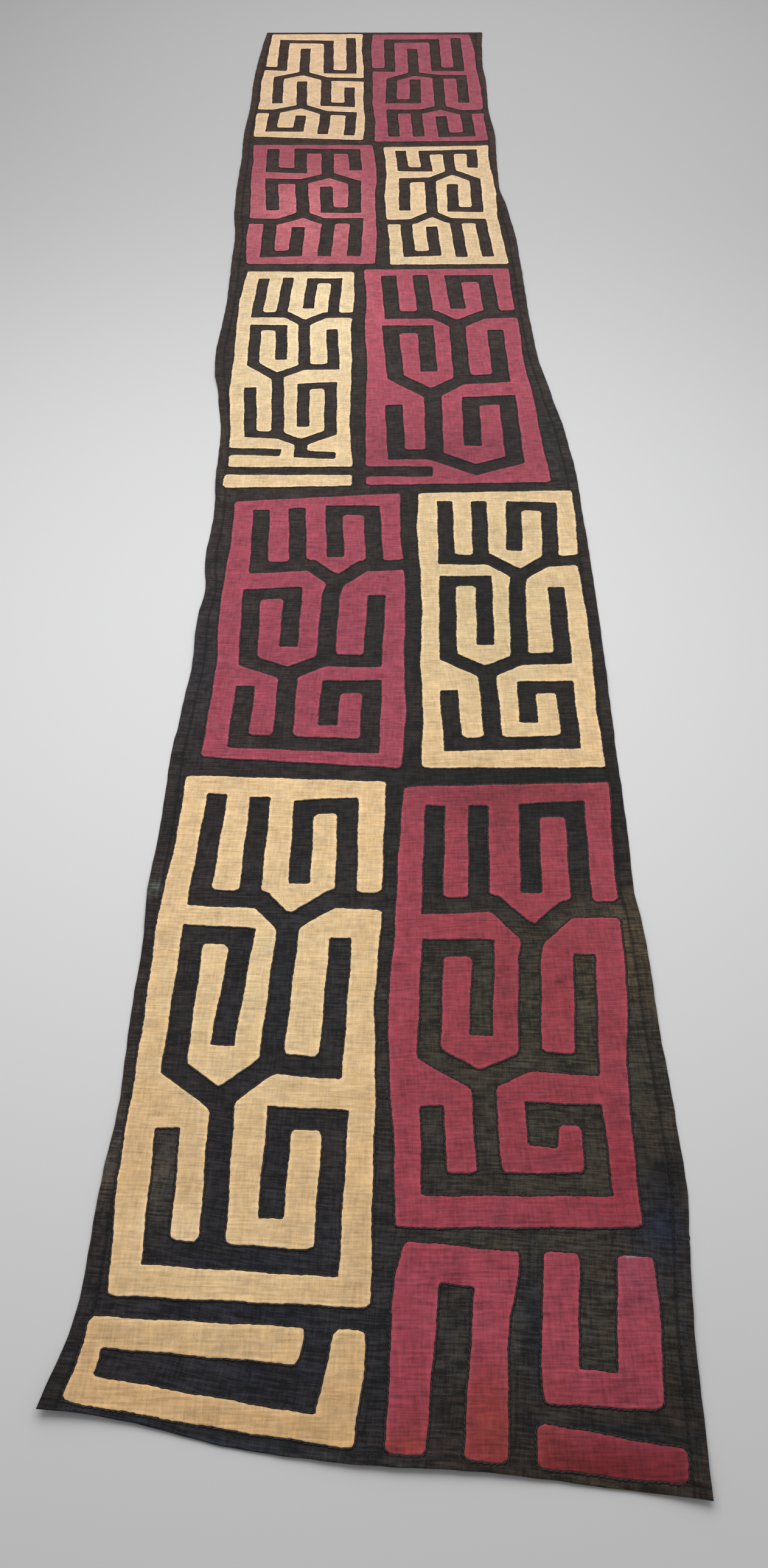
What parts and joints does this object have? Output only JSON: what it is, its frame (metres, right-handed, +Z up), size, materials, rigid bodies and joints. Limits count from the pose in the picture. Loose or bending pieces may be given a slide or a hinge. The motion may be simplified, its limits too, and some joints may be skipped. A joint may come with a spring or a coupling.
{
  "type": "kuba raffia cloth",
  "caption": "Long flat raffia wrapper cloth: black woven lengths sewn end to end, with cream and crimson cut-out key panels sewn on top.",
  "frame": {"origin": "on the surface the cloth lies on, under the middle of its bounding box", "axes": "+Z up out of the face with the panels, +Y along the length towards the far end, +X across to the right"},
  "size_m": [0.6648, 3.825, 0.0026],
  "materials": {
    "black_raffia": "matte plain-woven raffia dyed blue-black, faded to brown and green in places",
    "cream_raffia": "matte plain-woven undyed raffia, golden tan with pale and pinkish patches",
    "crimson_raffia": "matte plain-woven raffia dyed crimson, faded to pink in places"
  },
  "bodies": {
    "root": {"ground_1": "black_raffia", "ground_2": "black_raffia", "ground_3": "black_raffia", "ground_4": "black_raffia", "ground_5": "black_raffia", "ground_6": "black_raffia", "row1_left_cream": "cream_raffia", "row1_right_crimson": "crimson_raffia", "row2_left_crimson": "crimson_raffia", "row2_right_cream": "cream_raffia", "row3_left_cream": "cream_raffia", "row3_left_cream_bar": "cream_raffia", "row3_right_crimson": "crimson_raffia", "row4_left_crimson": "crimson_raffia", "row4_right_cream": "cream_raffia", "row5_left_cream": "cream_raffia", "row5_right_crimson": "crimson_raffia", "row6_left_cream_ring": "cream_raffia", "row6_crimson_arch": "crimson_raffia", "row6_crimson_cup": "crimson_raffia", "row6_crimson_bar": "crimson_raffia"}
  },
  "joints": []
}
